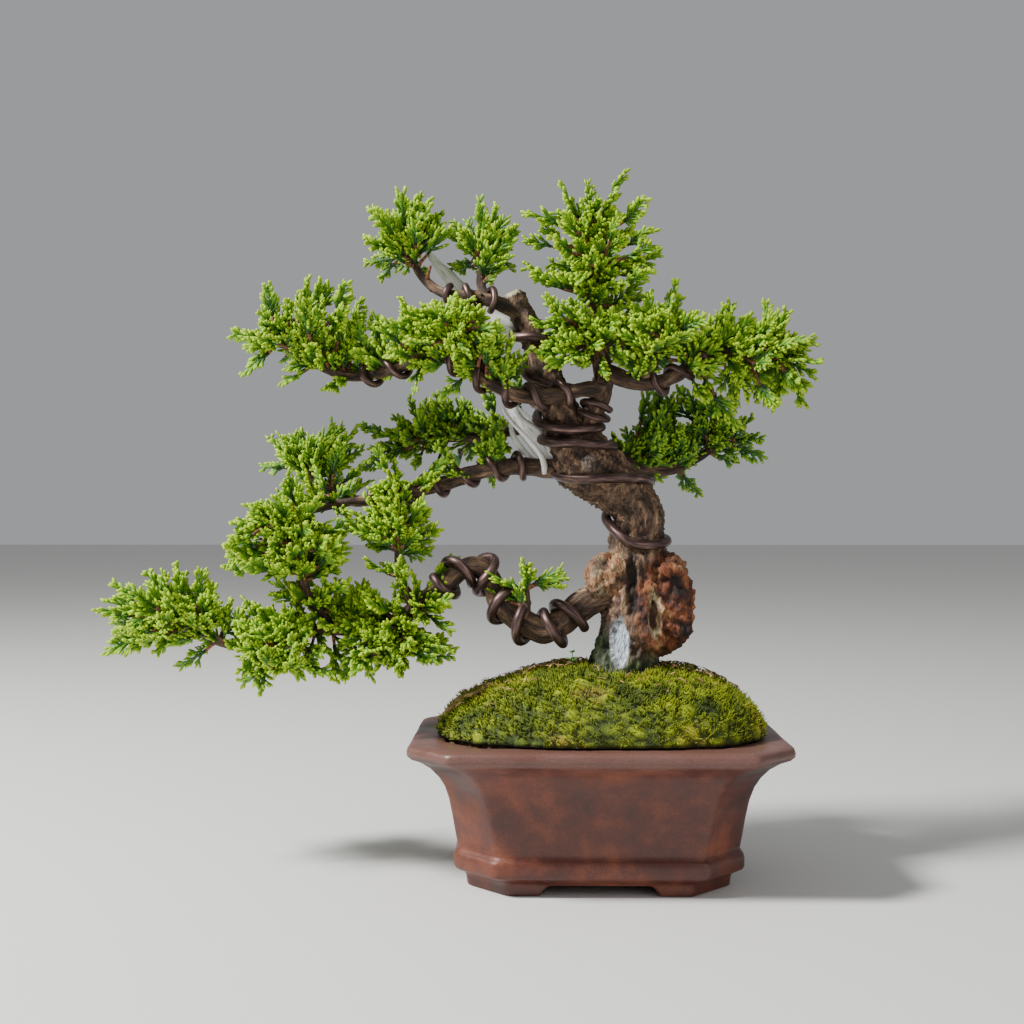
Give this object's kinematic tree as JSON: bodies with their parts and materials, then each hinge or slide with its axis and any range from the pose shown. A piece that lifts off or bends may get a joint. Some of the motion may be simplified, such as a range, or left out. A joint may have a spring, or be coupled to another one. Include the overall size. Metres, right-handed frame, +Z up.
{
  "type": "bonsai tree in a pot",
  "caption": "Small wired juniper bonsai with leaning trunk, cascading lower branch and cloud-like foliage pads, growing from a moss mound in a flared stoneware pot.",
  "frame": {"origin": "on the surface the pot stands on, under the middle of the whole tree and pot", "axes": "+Z up, +X towards the right of the front view, where the pot stands, +Y towards the back"},
  "size_m": [0.1921, 0.078, 0.1883],
  "materials": {
    "stoneware": "satin",
    "mesh_plastic": "satin",
    "soil": "matte",
    "moss": "matte",
    "bark": "matte",
    "deadwood": "matte",
    "wire": "satin",
    "foliage": "matte"
  },
  "bodies": {
    "root": {"branch_apex": "bark", "branch_back_left": "bark", "branch_back_right": "bark", "branch_crown_left": "bark", "branch_front_top_left": "bark", "branch_lower_left": "bark", "branch_mid_left": "bark", "branch_right": "bark", "drainage_mesh_left": "mesh_plastic", "drainage_mesh_right": "mesh_plastic", "foliage_apex": "foliage", "foliage_back_crown": "foliage", "foliage_back_right": "foliage", "foliage_cascade": "foliage", "foliage_crown_left": "foliage", "foliage_crown_middle": "foliage", "foliage_far_left": "foliage", "foliage_front_shoot": "foliage", "foliage_front_top_left": "foliage", "foliage_left_lower": "foliage", "foliage_left_middle": "foliage", "foliage_left_top": "foliage", "foliage_low_left": "foliage", "foliage_low_middle": "foliage", "foliage_mid_left": "foliage", "foliage_right_inner": "foliage", "foliage_right_outer": "foliage", "jin_lower": "deadwood", "jin_upper": "deadwood", "mesh_clip_left": "wire", "mesh_clip_right": "wire", "moss": "moss", "pot": "stoneware", "soil": "soil", "trunk": "bark", "wire_apex": "wire", "wire_crown_left": "wire", "wire_front_top_left": "wire", "wire_lower_left": "wire", "wire_mid_left": "wire", "wire_right": "wire", "wire_trunk": "wire"}
  },
  "joints": []
}
